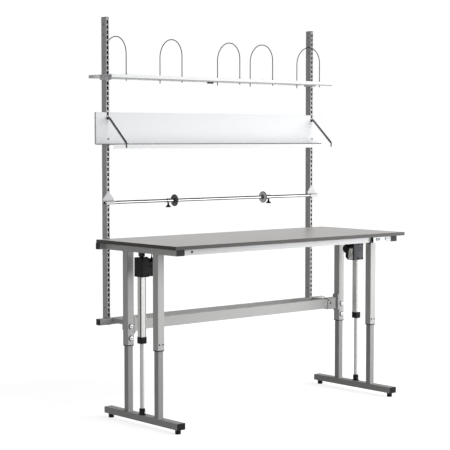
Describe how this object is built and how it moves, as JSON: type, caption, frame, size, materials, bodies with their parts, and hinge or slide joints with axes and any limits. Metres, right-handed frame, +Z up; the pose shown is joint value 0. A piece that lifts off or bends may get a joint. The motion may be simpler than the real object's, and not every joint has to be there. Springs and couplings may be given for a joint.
{
  "type": "packing table",
  "caption": "Height-adjustable packing table with electric leg frames, slotted uprights, lipped shelf, shelf with wire dividers and a paper-roll bar.",
  "frame": {"origin": "on the floor under the middle of the table's outer box, with the lift fully raised", "axes": "+X along the worktop to its right end as a user in front sees it, +Y from the user to the uprights, +Z up"},
  "size_m": [2, 0.918, 2.532],
  "materials": {
    "laminate": "grey satin laminate on a board",
    "edge_band": "dark edge band",
    "frame_grey": "silver-grey powder coat, satin",
    "white_steel": "white powder coat, semi-gloss",
    "pale_steel": "pale grey powder coat, satin",
    "dark_steel": "dark coated steel",
    "disc_grey": "grey coated steel, slightly speckled",
    "anodised": "natural anodised extrusion",
    "rod_steel": "bright drawn steel",
    "zinc": "zinc-plated sheet and hexagon bolts",
    "bright_metal": "chrome-plated",
    "dark_screws": "dark coated button-head screws",
    "black_plastic": "black moulded plastic",
    "grey_plastic": "grey moulded plastic",
    "pale_plastic": "light grey moulded plastic",
    "foot_black": "black foot pads",
    "cable": "black cable jacket",
    "board": "green circuit board with parts"
  },
  "bodies": {
    "left_base": {"left_base_beam": "frame_grey", "left_inner_posts": "frame_grey", "left_base_plugs": "black_plastic", "left_push_rod": "rod_steel", "left_rod_foot": "dark_steel"},
    "frame": {"worktop": "laminate", "worktop_edge_band": "edge_band", "cross_beams": "frame_grey", "outer_legs": "frame_grey", "leg_guide_bushes": "black_plastic", "tube_end_plugs": "black_plastic", "front_rail": "pale_steel", "button_head_screws": "dark_screws", "stretcher": "frame_grey", "stretcher_ends": "frame_grey", "rear_beams": "frame_grey", "upright_arms": "frame_grey", "leg_bolts": "bright_metal", "uprights": "frame_grey", "upright_bolts": "zinc", "middle_shelf": "white_steel", "shelf_back_panel": "white_steel", "shelf_struts": "dark_steel", "shelf_brackets": "zinc", "divider_shelf": "white_steel", "divider_shelf_brackets": "zinc", "roll_brackets": "white_steel", "actuator_profiles": "anodised", "actuator_collars": "black_plastic", "gearbox_housings": "black_plastic", "drive_motors": "black_plastic", "lead_screws": "rod_steel", "actuator_top_brackets": "dark_steel", "control_cables": "cable", "cable_clips": "pale_plastic", "control_box": "black_plastic", "control_boards": "board", "handset_case": "black_plastic", "handset_faceplate": "pale_plastic"},
    "right_base": {"right_base_beam": "frame_grey", "right_inner_posts": "frame_grey", "right_base_plugs": "black_plastic", "right_push_rod": "rod_steel", "right_rod_foot": "dark_steel"},
    "left_front_foot": {"left_front_foot": "foot_black"},
    "left_rear_foot": {"left_rear_foot": "foot_black"},
    "right_front_foot": {"right_front_foot": "foot_black"},
    "right_rear_foot": {"right_rear_foot": "foot_black"},
    "up_button": {"up_button": "grey_plastic"},
    "down_button": {"down_button": "grey_plastic"},
    "divider_1": {"divider_1": "rod_steel"},
    "divider_2": {"divider_2": "rod_steel"},
    "divider_3": {"divider_3": "rod_steel"},
    "divider_4": {"divider_4": "rod_steel"},
    "divider_5": {"divider_5": "rod_steel"},
    "roll_bar": {"roll_bar": "bright_metal"},
    "left_roll_disc": {"left_roll_disc": "disc_grey"},
    "right_roll_disc": {"right_roll_disc": "disc_grey"},
    "left_thumb_screw": {"left_thumb_screw": "black_plastic"},
    "right_thumb_screw": {"right_thumb_screw": "black_plastic"}
  },
  "joints": [
    {"name": "left_lift", "type": "slide", "parent": "left_base", "child": "frame", "axis": [0, 0, 1], "range_m": [-0.4, 0]},
    {"name": "right_lift", "type": "slide", "parent": "frame", "child": "right_base", "axis": [0, 0, 1], "range_m": [0, 0.4]},
    {"name": "left_front_foot_screw", "type": "slide", "parent": "left_base", "child": "left_front_foot", "axis": [0, 0, -1], "range_m": [0, 0.012]},
    {"name": "left_rear_foot_screw", "type": "slide", "parent": "left_base", "child": "left_rear_foot", "axis": [0, 0, -1], "range_m": [0, 0.012]},
    {"name": "right_front_foot_screw", "type": "slide", "parent": "right_base", "child": "right_front_foot", "axis": [0, 0, -1], "range_m": [0, 0.012]},
    {"name": "right_rear_foot_screw", "type": "slide", "parent": "right_base", "child": "right_rear_foot", "axis": [0, 0, -1], "range_m": [0, 0.012]},
    {"name": "up_button_press", "type": "slide", "parent": "frame", "child": "up_button", "axis": [0, 1, 0], "range_m": [0, 0.0015], "stiffness_N_per_m": 800},
    {"name": "down_button_press", "type": "slide", "parent": "frame", "child": "down_button", "axis": [0, 1, 0], "range_m": [0, 0.0015], "stiffness_N_per_m": 800},
    {"name": "divider_1_lift", "type": "slide", "parent": "frame", "child": "divider_1", "axis": [0, 0, 1], "range_m": [0, 0.045]},
    {"name": "divider_2_lift", "type": "slide", "parent": "frame", "child": "divider_2", "axis": [0, 0, 1], "range_m": [0, 0.045]},
    {"name": "divider_3_lift", "type": "slide", "parent": "frame", "child": "divider_3", "axis": [0, 0, 1], "range_m": [0, 0.045]},
    {"name": "divider_4_lift", "type": "slide", "parent": "frame", "child": "divider_4", "axis": [0, 0, 1], "range_m": [0, 0.045]},
    {"name": "divider_5_lift", "type": "slide", "parent": "frame", "child": "divider_5", "axis": [0, 0, 1], "range_m": [0, 0.045]},
    {"name": "roll_bar_spin", "type": "hinge", "parent": "frame", "child": "roll_bar", "pos_m": [0, 0.3295, 1.362], "axis": [1, 0, 0], "continuous": true},
    {"name": "left_disc_slide", "type": "slide", "parent": "roll_bar", "child": "left_roll_disc", "axis": [1, 0, 0], "range_m": [-0.4, 0.34]},
    {"name": "right_disc_slide", "type": "slide", "parent": "roll_bar", "child": "right_roll_disc", "axis": [1, 0, 0], "range_m": [-0.35, 0.38]},
    {"name": "left_thumb_screw_turn", "type": "hinge", "parent": "left_roll_disc", "child": "left_thumb_screw", "pos_m": [-0.428, 0.3295, 1.33], "axis": [0, 0, 1], "continuous": true},
    {"name": "right_thumb_screw_turn", "type": "hinge", "parent": "right_roll_disc", "child": "right_thumb_screw", "pos_m": [0.465, 0.3295, 1.33], "axis": [0, 0, 1], "continuous": true}
  ],
  "couplings": [
    {"joint": "right_lift", "follows": "left_lift", "ratio": -1}
  ]
}
